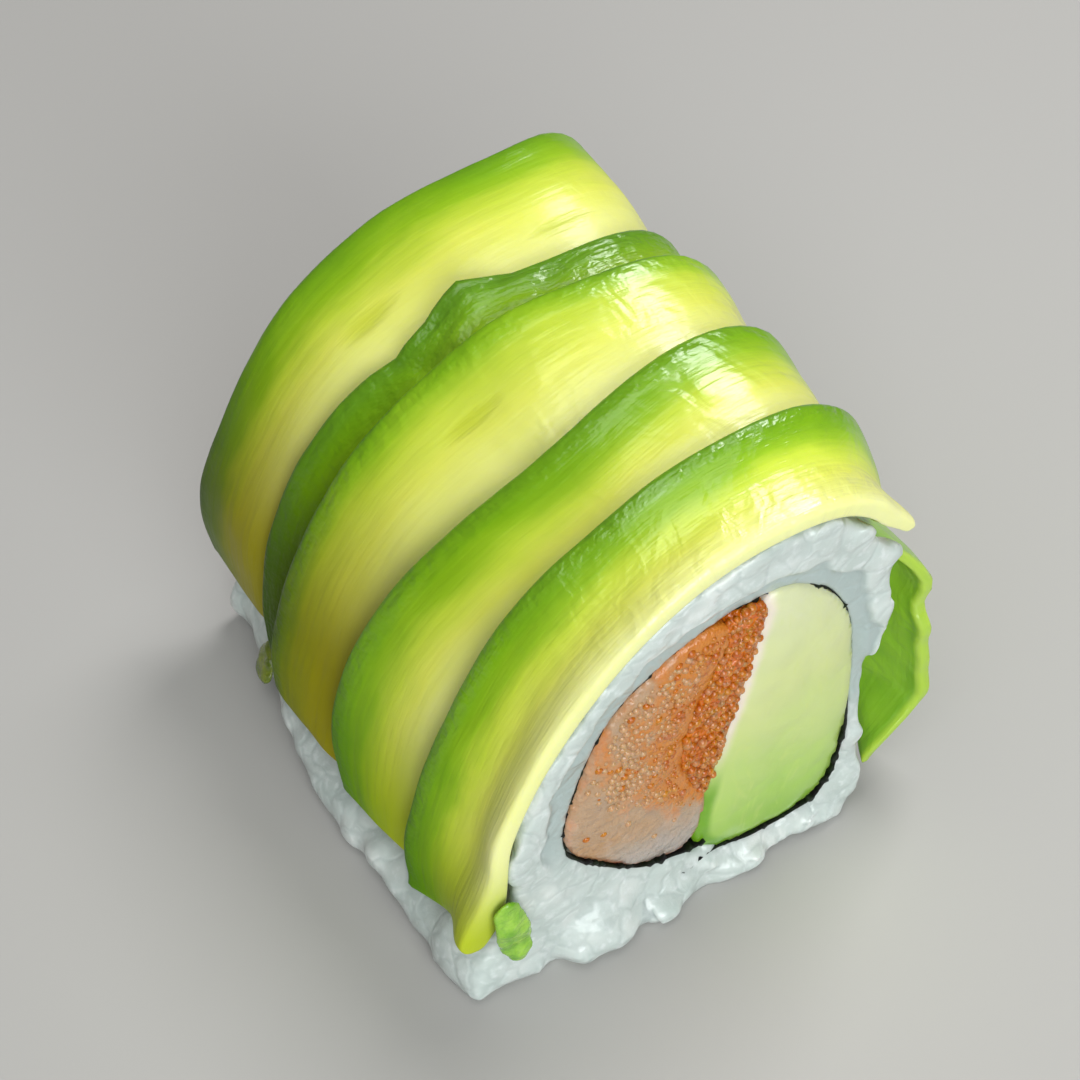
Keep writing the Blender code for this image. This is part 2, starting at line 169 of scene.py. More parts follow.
class Finish:
    """A material and the nodes that feed its shader."""

    def __init__(self, name, glow=(), **sockets):
        """Start a shader; glow is its subsurface weight, scale and radius."""
        self.material = bpy.data.materials.new(name)
        self.material.use_nodes = True
        self.tree = self.material.node_tree
        self.shader = self.tree.nodes["Principled BSDF"]
        sockets.update(zip(("Subsurface_Weight", "Subsurface_Scale", "Subsurface_Radius"), glow))
        self.fill(self.shader, sockets)

    def node(self, kind, settings=None, **sockets):
        """Add a node; a socket takes a value or another node's output."""
        made = self.tree.nodes.new("ShaderNode" + kind)
        for setting, value in (settings or {}).items():
            setattr(made, setting, value)
        self.fill(made, sockets)
        return made

    def fill(self, node, sockets):
        """Feed a node's sockets by their names."""
        for socket, value in sockets.items():
            self.feed(node.inputs[socket.replace("_", " ")], value)

    def feed(self, socket, value):
        """Give a socket a value, or link it to another node's output."""
        if isinstance(value, bpy.types.NodeSocket):
            self.tree.links.new(value, socket)
        else:
            socket.default_value = value

    def math(self, operation, *values):
        """Return the result of this operation on values or outputs."""
        made = self.node("Math", {"operation": operation})
        for socket, value in zip(made.inputs, values):
            self.feed(socket, value)
        return made.outputs[0]

    def times(self, first, second):
        return self.math("MULTIPLY", first, second)

    def stirred(self, value, clouds, depth):
        """Return the value, raised where the clouds are light and lowered where they are dark."""
        return self.math("ADD", value, self.times(self.math("SUBTRACT", clouds, 0.5), depth))

    def mix(self, factor, first, second, way="MIX"):
        """Return the second colour laid over the first by this factor."""
        made = self.node("Mix", {"data_type": "RGBA", "blend_type": way})
        for number, value in ((0, factor), (6, first), (7, second)):
            self.feed(made.inputs[number], value)
        return made.outputs[2]

    def range(self, value, low, high, to_low=0.0, to_high=1.0):
        """Return an even S from to_low at the low value to to_high at the high one."""
        return self.node("MapRange", {"interpolation_type": "SMOOTHSTEP"}, Value=value,
                         From_Min=low, From_Max=high, To_Min=to_low, To_Max=to_high).outputs[0]

    def ramp(self, factor, stops):
        """Return the colour at this factor, between (place, colour) stops."""
        made = self.node("ValToRGB", Fac=factor)
        colours = made.color_ramp.elements
        while len(colours) < len(stops):
            colours.new(0.5)
        for element, (place, colour) in zip(colours, stops):
            element.position = place
        for element, (place, colour) in zip(colours, stops):
            element.color = colour
        return made.outputs[0]

    def place(self, scale=(1.0, 1.0, 1.0), move=(0.0, 0.0, 0.0)):
        """Return the object's own coordinates in millimetres, then scaled."""
        spot = self.node("TexCoord").outputs["Object"]
        scale = [part / MM for part in scale]
        return self.node("Mapping", Vector=spot, Location=move, Scale=scale).outputs[0]

    def lay(self, scale=(1.0, 1.0, 1.0), move=(0.0, 0.0, 0.0)):
        """Return the piece's UV map of shares, scaled."""
        spot = self.node("UVMap", {"uv_map": "lay"}).outputs[0]
        return self.node("Mapping", Vector=spot, Location=move, Scale=scale).outputs[0]

    def parts(self, spot):
        """Return the three parts of a vector."""
        return self.node("SeparateXYZ", Vector=spot).outputs[0:3]

    def noise(self, spot, scale, detail=2.0, roughness=0.5, distortion=0.0):
        return self.node("TexNoise", Vector=spot, Scale=scale, Detail=detail, Roughness=roughness,
                         Distortion=distortion).outputs[0]

    def attribute(self, name):
        """Return a value kept at the mesh's points."""
        return self.node("Attribute", {"attribute_name": name}).outputs["Fac"]

    def relief(self, height, depth, under=None):
        """Add a bump of this depth in millimetres, on top of another one if given."""
        made = self.node("Bump", Height=height, Distance=depth * MM)
        if under:
            self.feed(made.inputs["Normal"], under)
        return made.outputs[0]

    def done(self, colour, normal=None, **sockets):
        """Feed the shader and return the material."""
        self.feed(self.shader.inputs["Base Color"], colour)
        if normal:
            self.feed(self.shader.inputs["Normal"], normal)
            self.feed(self.shader.inputs["Coat Normal"], normal)
        self.fill(self.shader, sockets)
        return self.material


def nori_finish():
    mat = Finish("damp_nori", Roughness=0.5, Specular_IOR_Level=0.2)
    spot = mat.place()
    blotches = mat.noise(spot, 0.9, detail=4.0)
    fibres = mat.noise(mat.place(scale=(1.0, 0.25, 1.0)), 4.0, detail=5.0, roughness=0.7)
    colour = mat.ramp(blotches, (
        (0.35, paint(8, 14, 8)), (0.6, paint(20, 32, 14)), (0.8, paint(34, 48, 20)),
    ))
    return mat.done(colour, mat.relief(fibres, 0.12))


nori_line = smooth_curve(NORI_PATH, NORI_STEPS_ROUND)
nori = flat_slab(1.0, ROLL_LENGTH, 1.0, len(nori_line), NORI_STEPS_LONG, NORI_CROWDING)
for vert in nori.verts:
    along = vert.co.x * (len(nori_line) - 1)
    k = min(int(along), len(nori_line) - 2)
    here = nori_line[k].lerp(nori_line[k + 1], along - k)
    ahead = (nori_line[k + 1] - nori_line[k]).normalized()
    outward = Vector((ahead.y, -ahead.x))
    y = vert.co.y - FACE
    from_end = FACE - abs(y)
    wavy = noise((here.x * NORI_WAVES, here.y * NORI_WAVES, 3.0 + y * 0.02))
    tooth = max(0.0, noise((here.x * TEETH, here.y * TEETH, 9.0)) - TOOTH_GAP)
    inner = vert.co.z > 0.5
    if inner:
        here = here - outward * NORI_THICKNESS / 2
    else:
        at_rim = ease(TOOTH_ROOT - from_end, 0.0, TOOTH_RUN)
        spread = NORI_SPARE * (1.0 + wavy) + TOOTH_REACH * tooth
        here = here + outward * (NORI_THICKNESS / 2 + at_rim * spread)
    lie_back = NORI_SET_BACK + NORI_WAVE_DEPTH * wavy + STEP_DEPTH * ease(here.y, *STEP_HEIGHTS)
    if inner:
        lie_back += NORI_INNER_SET_BACK
    y -= math.copysign(lie_back - 0.5 * tooth, y) * ease(1.0 - from_end, 0.0, 1.0)
    vert.co = (here.x, y, here.y)
finished("nori_sheet", nori, nori_finish(), "nori", "nori")


# --- Prawn ---
# A strip of cooked prawn flesh, cut across with the roll. It is moist, slightly see-through
# and pinkish brown, with a red-orange skin along its outer edge and a whiter lower end.

PRAWN_VOXEL = 0.42
PRAWN_DOMING = 0.3
PRAWN_ROUGHNESS = 0.18
DOMING_RUN = 2.5
CUT_DEPTH = 0.8  # the layer that counts as the cut face
GROWTH = 0.64  # what brings a filling up to the seaweed


def solid_copy(node):
    """Return a solid's shape in millimetres, its loose triangles joined."""
    copied = bmesh.new()
    copied.from_mesh(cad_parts[node].data)
    bmesh.ops.scale(copied, vec=(1 / MM, 1 / MM, 1 / MM), verts=copied.verts)
    bmesh.ops.remove_doubles(copied, verts=copied.verts, dist=0.001)
    return copied


def remeshed(edited, voxel):
    """Return the edited mesh as one even skin."""
    mesh = as_mesh("skin", edited)
    carrier = placed("skin", mesh)
    skin = carrier.modifiers.new("skin", "REMESH")
    skin.mode = "VOXEL"
    skin.voxel_size = voxel
    evaluated = carrier.evaluated_get(bpy.context.evaluated_depsgraph_get())
    made = bmesh.new()
    made.from_mesh(evaluated.to_mesh())
    evaluated.to_mesh_clear()
    bpy.data.objects.remove(carrier)
    bpy.data.meshes.remove(mesh)
    return made


def soften(edited, verts, turns=1):
    """Let these points settle between their neighbours, so many times."""
    for _ in range(turns):
        bmesh.ops.smooth_vert(edited, verts=verts, factor=0.5,
                              use_axis_x=True, use_axis_y=True, use_axis_z=True)


def side_walls(edited):
    """Return a search tree of the faces that aren't on a cut face."""
    edited.normal_update()
    sides = edited.copy()
    ends = [face for face in sides.faces if abs(face.normal.y) > 0.5]
    bmesh.ops.delete(sides, geom=ends, context="FACES")
    tree = BVHTree.FromBMesh(sides)
    sides.free()
    return tree


def cut_filling(node, walls, voxel, doming, roughness, seed):
    """Return a filling's skin, its cut faces domed and uneven, with each point's rim distance."""
    skin = remeshed(solid_copy(node), voxel)
    soften(skin, skin.verts)
    rim = skin.verts.layers.float.new("rim")
    skin.normal_update()
    for vert in skin.verts:
        away = walls.find_nearest(vert.co)[3]
        vert[rim] = away
        sideways = Vector((vert.normal.x, 0.0, vert.normal.z))
        vert.co += sideways * GROWTH * (1.0 - ease(away, 0.0, 0.5))
        if abs(vert.co.y) > FACE - CUT_DEPTH:
            swell = doming * ease(away, 0.0, DOMING_RUN) - RECESS
            lumps = noise(vert.co * 0.5 + Vector((seed, 0, 0)))
            swell += roughness * (lumps + 0.4 * noise(vert.co * 1.7))
            vert.co.y += swell if vert.co.y > 0.0 else -swell
    return skin


def prawn_finish():
    mat = Finish("moist_prawn", glow=(0.4, 0.0010, (1.0, 0.75, 0.5)),
                 Roughness=0.3, Coat_Weight=0.4, Coat_Roughness=0.06)
    spot = mat.place()
    clouds = mat.noise(spot, 0.2, detail=3.0, distortion=0.8)
    strands = mat.noise(mat.place(scale=(1.0, 0.4, 0.5)), 0.7, detail=4.0, roughness=0.6)
    flesh = mat.ramp(clouds, (
        (0.3, paint(168, 140, 114)), (0.5, paint(182, 150, 118)), (0.72, paint(178, 136, 92)),
    ))
    flesh = mat.mix(mat.range(strands, 0.5, 0.75, 0.0, 0.5), flesh, paint(206, 180, 160))
    height = mat.parts(spot)[2]
    wavy = mat.math("ADD", height, mat.times(clouds, 5.0))
    flesh = mat.mix(mat.range(wavy, 16.0, 11.5), flesh, paint(174, 162, 152))
    stain = mat.stirred(mat.attribute("roe_near"), strands, 1.3)
    flesh = mat.mix(mat.range(stain, 0.25, 0.7, 0.0, 0.95), flesh, paint(202, 120, 20))
    edge = mat.math("ADD", mat.attribute("rim"), mat.times(strands, -0.5))
    lower = mat.range(height, 15.0, 9.0, 0.15, 0.8)
    low_edge = mat.times(mat.range(edge, -0.02, -0.25), lower)
    flesh = mat.mix(low_edge, flesh, paint(194, 98, 44))
    lumps = mat.noise(spot, 1.3, detail=3.0)
    return mat.done(flesh, mat.relief(lumps, 0.3))


prawn_walls = side_walls(solid_copy("prawn"))
prawn = cut_filling("prawn", prawn_walls, PRAWN_VOXEL, PRAWN_DOMING, PRAWN_ROUGHNESS, 4.0)
roe_solid = solid_copy("roe")
roe_solid.normal_update()
roe_walls = side_walls(roe_solid)
roe_near = prawn.verts.layers.float.new("roe_near")
for vert in prawn.verts:
    away = roe_walls.find_nearest(vert.co)[3]
    reach = blend(3.0, 9.0, ease(vert.co.z, 14.0, 26.0))
    vert[roe_near] = math.exp(-away / reach) * ease(vert.co.z, 10.0, 16.0)
finished("prawn_flesh", prawn, prawn_finish(), "prawn", "prawn")


# --- Avocado inside ---
# A thick stick of ripe avocado beside the prawn, creamy in the middle of the fruit and
# greener towards its skin. The knife left a soft, faintly smeared face.

STICK_VOXEL = 0.45
STICK_DOMING = 0.3
STICK_ROUGHNESS = 0.12
SMEAR_REACH = 1.6


def filling_finish():
    mat = Finish("cut_avocado", glow=(0.5, 0.002, (1.0, 0.9, 0.35)),
                 Roughness=0.32, Coat_Weight=0.3, Coat_Roughness=0.12)
    spot = mat.place()
    clouds = mat.noise(spot, 0.14, detail=3.0, distortion=0.5)
    vein_spot = mat.place(scale=(0.5, 0.3, 0.14), move=(3.0, 0.0, 0.0))
    veins = mat.noise(vein_spot, 1.0, detail=3.0, distortion=1.5)
    across, _, height = mat.parts(spot)
    share = mat.math("DIVIDE", mat.stirred(height, clouds, 9.0), 40.0)
    flesh = mat.ramp(share, (
        (0.1, paint(142, 188, 62)), (0.22, paint(166, 202, 94)), (0.4, paint(190, 211, 126)),
        (0.6, paint(206, 216, 146)), (0.85, paint(214, 220, 174)),
    ))
    flesh = mat.mix(mat.range(veins, 0.55, 0.72, 0.0, 0.3), flesh, paint(202, 216, 120))
    beside = mat.range(mat.attribute("roe_near"), 0.42, 0.75, 0.0, 0.9)
    smeared = mat.times(beside, mat.range(height, 14.0, 22.0))
    flesh = mat.mix(smeared, flesh, paint(236, 224, 208))
    edge = mat.math("ADD", mat.attribute("rim"), mat.times(clouds, -0.8))
    low_left = mat.times(mat.range(height, 17.0, 12.0), mat.range(across, 7.0, 4.5))
    flesh = mat.mix(mat.times(mat.range(edge, 0.8, 0.0), low_left), flesh, paint(112, 166, 26))
    return mat.done(flesh, mat.relief(clouds, 0.3))


stick_walls = side_walls(solid_copy("avocado_filling"))
stick = cut_filling("avocado_filling", stick_walls, STICK_VOXEL, STICK_DOMING, STICK_ROUGHNESS, 9.0)
roe_near = stick.verts.layers.float.new("roe_near")
for vert in stick.verts:
    vert[roe_near] = math.exp(-roe_walls.find_nearest(vert.co)[3] / SMEAR_REACH)
finished("avocado_inside", stick, filling_finish(), "avocado_flesh", "avocado_filling")


# --- Roe ---
# Orange fish roe packed between the prawn and the avocado: hundreds of wet, clear beads
# under a millimetre across, dense in the strip and scattered where the knife dragged them.

BEAD_RADIUS = 0.36
BEAD_SPACING = 0.6
BEAD_TRIES = 9000
BEAD_LAYERS = (0.12, 0.3)
BEAD_SIZES = (0.7, 1.35)
STRAY_SPACING = 0.46
STRAY_SIZES = (0.45, 1.3)
STRAY_RIM = 0.3
roe_random = random.Random(11)


def surface_points(edited, spacing, tries, wanted, draw):
    """Return (point, normal) pairs spread over the wanted faces, never closer than the spacing."""
    faces = [face for face in edited.faces if wanted(face.calc_center_median(), face.normal)]
    triangles = []
    for face in faces:
        corners = [vert.co for vert in face.verts]
        for k in range(1, len(corners) - 1):
            triangles.append((corners[0], corners[k], corners[k + 1], face.normal.copy()))
    weights = [(b - a).cross(c - a).length for a, b, c, normal in triangles]
    cells, kept = {}, []
    for a, b, c, normal in draw.choices(triangles, weights=weights, k=tries):
        u, v = draw.random(), draw.random()
        if u + v > 1.0:
            u, v = 1.0 - u, 1.0 - v
        point = a + (b - a) * u + (c - a) * v
        cell = tuple(int(part // spacing) for part in point)
        near = [other for i in (-1, 0, 1) for j in (-1, 0, 1) for k in (-1, 0, 1)
                for other in cells.get((cell[0] + i, cell[1] + j, cell[2] + k), ())]
        if all((other - point).length > spacing for other in near):
            cells.setdefault(cell, []).append(point)
            kept.append((point.copy(), normal))
    return kept


def on_cut_face(at, out):
    """Say whether a face that looks this way is on a cut face."""
    return abs(out.y) > 0.5


def stamped(stamps, shape, layer=None, values=()):
    """Return one mesh of copies of a shape, one for each placing matrix, each with its value."""
    template = as_mesh("stamp", shape)
    whole = bmesh.new()
    for stamp in stamps:
        copied = template.copy()
        copied.transform(stamp)
        whole.from_mesh(copied)
        bpy.data.meshes.remove(copied)
    if layer:
        tag = whole.verts.layers.float.new(layer)
        for number, vert in enumerate(whole.verts):
            vert[tag] = values[number // len(template.vertices)]
    bpy.data.meshes.remove(template)
    return whole


def roe_finish():
    mat = Finish("wet_roe", glow=(0.5, 0.0006, (1.0, 0.6, 0.25)),
                 Roughness=0.08, Coat_Weight=0.6, Coat_Roughness=0.02, IOR=1.36,
                 Transmission_Weight=0.35)
    patches = mat.noise(mat.place(), 0.9, detail=3.0)
    colour = mat.ramp(patches, (
        (0.3, paint(198, 96, 0)), (0.5, paint(218, 124, 2)), (0.7, paint(230, 156, 40)),
    ))
    return mat.done(mat.mix(mat.attribute("paleness"), colour, paint(222, 178, 132)))


bead = bmesh.new()
bmesh.ops.create_icosphere(bead, subdivisions=2, radius=BEAD_RADIUS)
stamps, paleness = [], []
for depth in BEAD_LAYERS:
    packed = surface_points(roe_solid, BEAD_SPACING, BEAD_TRIES, on_cut_face, roe_random)
    for point, normal in packed:
        point -= normal * (RECESS + depth + roe_random.uniform(-0.1, 0.1))
        point += Vector((roe_random.gauss(0, 0.1), 0.0, roe_random.gauss(0, 0.1)))
        stamps.append(Matrix.Translation(point) @ Matrix.Scale(roe_random.uniform(*BEAD_SIZES), 4))
        paleness.append(max(0.0, roe_random.uniform(-0.6, 0.4)))

# Beads dragged over the prawn: close to the strip, further down from its top, and in clumps
prawn_solid = solid_copy("prawn")
prawn_solid.normal_update()
strays = surface_points(prawn_solid, STRAY_SPACING, BEAD_TRIES, on_cut_face, roe_random)
for point, normal in strays:
    away = roe_walls.find_nearest(point)[3]
    edge = prawn_walls.find_nearest(point)[3]
    reach = blend(2.5, 14.0, ease(point.z, 13.0, 25.0))
    clump = noise(point * 0.45 + Vector((0, 0, 7.0)))
    chance = 0.95 * (1.0 - ease(away, 0.4 * reach, reach)) * ease(point.z, 12.0, 16.0)
    chance += 0.3 * ease(clump, 0.1, 0.5) * ease(point.z, 9.0, 14.0)
    if edge > STRAY_RIM and roe_random.random() < chance:
        size = roe_random.uniform(*STRAY_SIZES)
        doming = PRAWN_DOMING * ease(edge, 0.0, DOMING_RUN)
        sunk = RECESS - doming + size * BEAD_RADIUS * roe_random.uniform(0.3, 0.7)
        stamps.append(Matrix.Translation(point - normal * sunk) @ Matrix.Scale(size, 4))
        pale = 0.9 * ease(away + 3.0 * clump, 0.8, 4.5)
        paleness.append(pale if roe_random.random() < 0.85 else 0.0)
prawn_solid.free()
finished("roe_beads", stamped(stamps, bead, "paleness", paleness), roe_finish(), "roe", "roe")

for vert in roe_solid.verts:
    vert.co.y *= (FACE - RECESS) / FACE


def roe_core_finish():
    mat = Finish("roe_core", glow=(0.4, 0.0008, (1.0, 0.6, 0.2)),
                 Roughness=0.2, Coat_Weight=0.5, Coat_Roughness=0.04)
    patches = mat.noise(mat.place(), 1.2, detail=2.0)
    colour = mat.ramp(patches, ((0.35, paint(196, 90, 0)), (0.7, paint(216, 118, 2))))
    return mat.done(colour, mat.relief(mat.noise(mat.place(), 1.6, detail=1.0), 0.5))


finished("roe_packed", roe_solid, roe_core_finish(), "roe")


# --- Rice ---
# Short-grain sushi rice, cooked, seasoned and pressed round the seaweed, so the grains have
# run together: smooth, moist and slightly see-through. Only at the cut faces, the foot and
# the outline do single grains still stand out.

GRAIN = (2.6, 1.35, 1.25)  # half its length, width and height
GRAIN_SPACING = 2.0
GRAIN_TRIES = 14000
GRAIN_LEANS = (0.0, 0.0, 0.15, 0.3)
GRAIN_SIZES = (0.85, 1.1)
GRAIN_SINK = (0.95, 1.25)
FOOT_SINK = 0.2
FOOT_GROWTH = 0.05
FOOT_TOP = (5.0, 8.0)
BARE_TOP = 9.5
BARE_REACH = 2.5
RIM_BAND = 3.0
NORI_ROOM = 1.1
SCRAP_ROOM = 2.2
SIDE_SCRAP_GRAINS = (
    ((1.6, 0.6, 0.3), (0.1, 1.0, 0.2)), ((1.3, -1.9, -1.4), (-0.2, 1.0, 0.3)),
    ((1.5, 2.4, -0.9), (0.2, 1.0, -0.3)),
)
CORE_VOXEL = 0.55
CORE_SHRINK = 0.3
FOOT_SHRINK = 0.1
HOLE_WALL = 0.75
HOLE_CLOSING = 0.7
LOOSE_END_CLOSING = 0.3
SKIN_VOXEL = 0.27
SKIN_TRIANGLES = 185000
SKIN_TURNS = 9
FUSED_TURNS = 17
LOBE_TURNS = 110
LOBE_CORNER = (-13.5, -18.5, 8.5)
FREE_BULGE = 0.2
BULGE_KEPT = 0.3
NORI_CLEAR = 1.3
FACE_SET_BACK = 0.2
STEP_EDGE = (1.5, 2.1)
FREE_FOOT = (2.5, 7.5)
SCRAP_Y = -24.45
SCRAP_BED = (0.9, 1.8)
HOLLOW_TURNS = 7
rice_random = random.Random(5)


def rice_finish():
    mat = Finish("steamed_rice", glow=(0.7, 0.0012, (0.9, 1.0, 1.0)),
                 Roughness=0.3, Coat_Weight=0.6, Coat_Roughness=0.06)
    spot = mat.place()
    clouds = mat.noise(spot, 0.22, detail=2.0)
    starch = mat.noise(spot, 1.3, detail=3.0)
    colour = mat.ramp(clouds, (
        (0.3, paint(192, 204, 199)), (0.55, paint(204, 214, 210)), (0.75, paint(220, 226, 222)),
    ))
    colour = mat.mix(mat.range(starch, 0.5, 0.75, 0.0, 0.5), colour, paint(232, 238, 238))
    # Painted shade: darker in the hollows between grains
    painted_hollow_shade = mat.range(mat.attribute("hollow"), 0.01, 0.18, 0.0, 0.75)
    colour = mat.mix(painted_hollow_shade, colour, paint(146, 160, 160))
    # Painted shade in the band that lies a step back by the seaweed
    colour = mat.mix(mat.times(mat.attribute("sheltered"), 0.75), colour, paint(158, 176, 174))
    pits = mat.noise(spot, 2.0, detail=3.0)
    swirl = mat.node("TexNoise", Vector=spot, Scale=0.5, Detail=1.0).outputs["Color"]
    bent = mat.node("VectorMath", {"operation": "MULTIPLY_ADD"})
    for socket, value in zip(bent.inputs, (swirl, (2.2, 2.2, 2.2), spot)):
        mat.feed(socket, value)
    cells = mat.node("TexVoronoi", {"feature": "DISTANCE_TO_EDGE"},
                     Vector=bent.outputs[0], Scale=0.36)
    seams = cells.outputs["Distance"]
    # Painted shade along the seams between grains
    colour = mat.mix(mat.range(seams, 0.12, 0.0, 0.0, 0.3), colour, paint(164, 178, 174))
    rough = mat.relief(pits, 0.045)
    return mat.done(colour, mat.relief(mat.range(seams, 0.0, 0.2), 0.05, under=rough))


def solid_tree(node):
    """Return a search tree of a solid's faces."""
    solid = solid_copy(node)
    tree = BVHTree.FromBMesh(solid)
    solid.free()
    return tree


rice_solid = solid_copy("rice")
rice_walls = side_walls(rice_solid)
rice_tree = BVHTree.FromBMesh(rice_solid)
nori_tree = solid_tree("nori")
scrap_tree = solid_tree("avocado_crumb_front")


def from_nori(at):
    return nori_tree.find_nearest(at)[3]


def beside_nori(at):
    """Return the distance to the seaweed as seen along the roll."""
    return from_nori(Vector((at.x, 0.0, at.z)))


def bare_rice(at, out):
    """Say whether this bit of the rice shows: the cut faces and the strip below the slices."""
    if from_nori(at) < 0.7 and abs(out.y) < 0.5:
        return False
    return abs(out.y) > 0.5 or (at.z < BARE_TOP and out.z > -0.8) or abs(at.y) > FACE - BARE_REACH


def pointing(along):
    """Return the turn that lays a grain this way."""
    return along.to_track_quat("X", "Z").to_matrix().to_4x4()


def grain_stamp(point, normal):
    """Return where a grain lies at this point of the rice, or None where it has no room."""
    _, wall_out, _, to_wall = rice_walls.find_nearest(point)
    to_nori = from_nori(point)
    if scrap_tree.find_nearest(point)[3] < SCRAP_ROOM:
        return None
    rice_random.random()  # one draw passed over: the grains' lie was chosen with it
    if on_cut_face(point, normal):
        if to_nori < NORI_ROOM or (point.x > 11.0 and to_wall < BARE_REACH):
            return None
        if to_wall < RIM_BAND:
            along = wall_out.cross(normal)
        else:
            upright = Vector((0, 0, 1))
            along = Matrix.Rotation(rice_random.uniform(0, math.pi), 3, "Y") @ upright
        lean = rice_random.choice(GRAIN_LEANS)
        along = (along.normalized() + normal * lean).normalized()
    else:
        along = normal.orthogonal().normalized()
        along.rotate(Matrix.Rotation(rice_random.uniform(0, math.pi), 3, normal))
    turn = pointing(along) @ Matrix.Rotation(rice_random.uniform(0, math.pi), 4, "X")
    low = 1.0 - ease(point.z, *FOOT_TOP)
    sink = rice_random.uniform(*GRAIN_SINK) + FOOT_SINK * low
    size = (1.0 + FOOT_GROWTH * low) * rice_random.uniform(*GRAIN_SIZES)
    size *= blend(0.65, 1.0, ease(to_nori, 1.0, 2.2))
    return Matrix.Translation(point - normal * sink) @ turn @ Matrix.Scale(size, 4)


# The core is drawn in a little under the grains, and closed up against the seaweed
core_mesh = remeshed(rice_solid.copy(), CORE_VOXEL)
core_mesh.normal_update()
for vert in core_mesh.verts:
    if from_nori(vert.co) > HOLE_WALL or on_cut_face(vert.co, vert.normal):
        vert.co -= vert.normal * blend(FOOT_SHRINK, CORE_SHRINK, ease(vert.co.z, 4.0, 9.0))
    else:
        by_loose_end = vert.co.x < 1.5 and vert.co.z < 4.4
        vert.co += vert.normal * HOLE_CLOSING * (LOOSE_END_CLOSING if by_loose_end else 1.0)

grain = bmesh.new()
bmesh.ops.create_icosphere(grain, subdivisions=3, radius=1.0)
bmesh.ops.scale(grain, vec=GRAIN, verts=grain.verts)
bare_points = surface_points(rice_solid, GRAIN_SPACING, GRAIN_TRIES, bare_rice, rice_random)
stamps = [stamp for bare in bare_points if (stamp := grain_stamp(*bare))]

side_scrap = solid_copy("avocado_crumb_side")
held_at = sum((vert.co for vert in side_scrap.verts), Vector()) / len(side_scrap.verts)
side_scrap.free()
for offset, lean in SIDE_SCRAP_GRAINS:
    stamps.append(Matrix.Translation(held_at + Vector(offset)) @ pointing(Vector(lean)))

grains = as_mesh("grains", stamped(stamps, grain))
core_mesh.from_mesh(grains)
bpy.data.meshes.remove(grains)

# Core and grains run together into one skin, most of all where the rice was pressed
rice = remeshed(core_mesh, SKIN_VOXEL)
fused = [vert for vert in rice.verts
         if vert.co.z < 7.0 or vert.co.x > 13.0 or abs(vert.co.y) < FACE - BARE_REACH]
soften(rice, rice.verts, SKIN_TURNS)
soften(rice, fused, FUSED_TURNS)

# Grains that stand too far out of the rice's outline are pressed back to it
for vert in rice.verts:
    near, out, _, away = rice_tree.find_nearest(vert.co)
    proud = away > FREE_BULGE and (vert.co - near).dot(out) > 0.0
    if proud and beside_nori(vert.co) > NORI_CLEAR:
        kept = FREE_BULGE + BULGE_KEPT * (away - FREE_BULGE)
        vert.co = near + (vert.co - near) * kept / away
lobe = [vert for vert in rice.verts if all(part < end for part, end in zip(vert.co, LOBE_CORNER))]
soften(rice, lobe, LOBE_TURNS)

# The knife cut the faces flat, a step back over the fillings, and the front scrap has its bed
hollow = rice.verts.layers.float.new("hollow")
sheltered = rice.verts.layers.float.new("sheltered")
for vert in rice.verts:
    uneven = beside_nori(vert.co) + 1.1 * noise(vert.co * 0.4)
    stepped = 1.0 - ease(uneven, *STEP_EDGE)
    stepped *= ease(vert.co.z, *STEP_HEIGHTS)
    level = FACE - FACE_SET_BACK - STEP_DEPTH * stepped
    # The stepped-back band is kept for painted shade in the rice's colour
    vert[sheltered] = stepped
    beyond = abs(vert.co.y) - level
    if beyond > 0.0:
        held = 1.0 if vert.co.y > 0.0 else ease(vert.co.z, *FREE_FOOT)
        vert.co.y = math.copysign(level + beyond * blend(1.0, BULGE_KEPT, held), vert.co.y)
    by_scrap = scrap_tree.find_nearest(Vector((vert.co.x, SCRAP_Y, vert.co.z)))[3]
    if by_scrap < SCRAP_BED[1] and vert.co.y < -FACE:
        vert.co.y = blend(vert.co.y, -FACE, 1.0 - ease(by_scrap, *SCRAP_BED))
    vert.co.z = max(vert.co.z, 0.0)

# How far each point lies below its surroundings, kept for the painted shade in the hollows
before = [vert.co.copy() for vert in rice.verts]
rice.normal_update()
outward = [vert.normal.copy() for vert in rice.verts]
soften(rice, rice.verts, HOLLOW_TURNS)
for vert, was, out in zip(rice.verts, before, outward):
    vert[hollow] = (vert.co - was).dot(out)
    vert.co = was
rice_piece = finished("pressed_rice", rice, rice_finish(), "rice", "rice")
triangles = len(rice_piece.data.polygons) * 2
if triangles > SKIN_TRIANGLES:
    fewer = rice_piece.modifiers.new("fewer", "DECIMATE")
    fewer.ratio = SKIN_TRIANGLES / triangles


# --- Avocado slices ---
# Five thin slices of one ripe avocado, fanned over the roll from the back to the front. Each
# has a dark green edge where the skin was, pales to yellow towards the stone side, and lies
# with that green edge on the slice behind it. They are moist and shine where the light falls.

ARCH_STEPS = 480
SIDE_STEPS = 72
CHORD_STEPS = 11
WAIST = 20.0
LEFT_HALF_WIDTH = 18.1
RIGHT_HALF_WIDTH = 18.7
ARCH_CENTRE = 0.8
ARCH_RISE = 25.6
ARCH_POWER = 2.3
ARCH_LEAN = 0.31
RIGHT_FOOT_SPREAD = 0.6
BACK_SPREAD = 1.7
BACK_DROP = 0.9
BACK_FOOT_TUCK = 5.4
FOOT_CORNER = 3.0
FOOT_TUCK = 1.6
DEPTH_AT_FACE = 2.1
DEPTH_UNDER_LAPS = 4.3
DEPTH_AT_RIGHT = 0.7
TIP_SEAT = 1.3
TIP_SEAT_SHARE = 0.11
TIP_SEAT_SPAN = 0.09
SHOULDER_BULGE = 2.7
SHOULDER_SHARE = 0.58
SHOULDER_SPAN = 0.18
SHOULDER_RUN = 9.0
GAP = 0.3
LAP_SPARE = 0.15
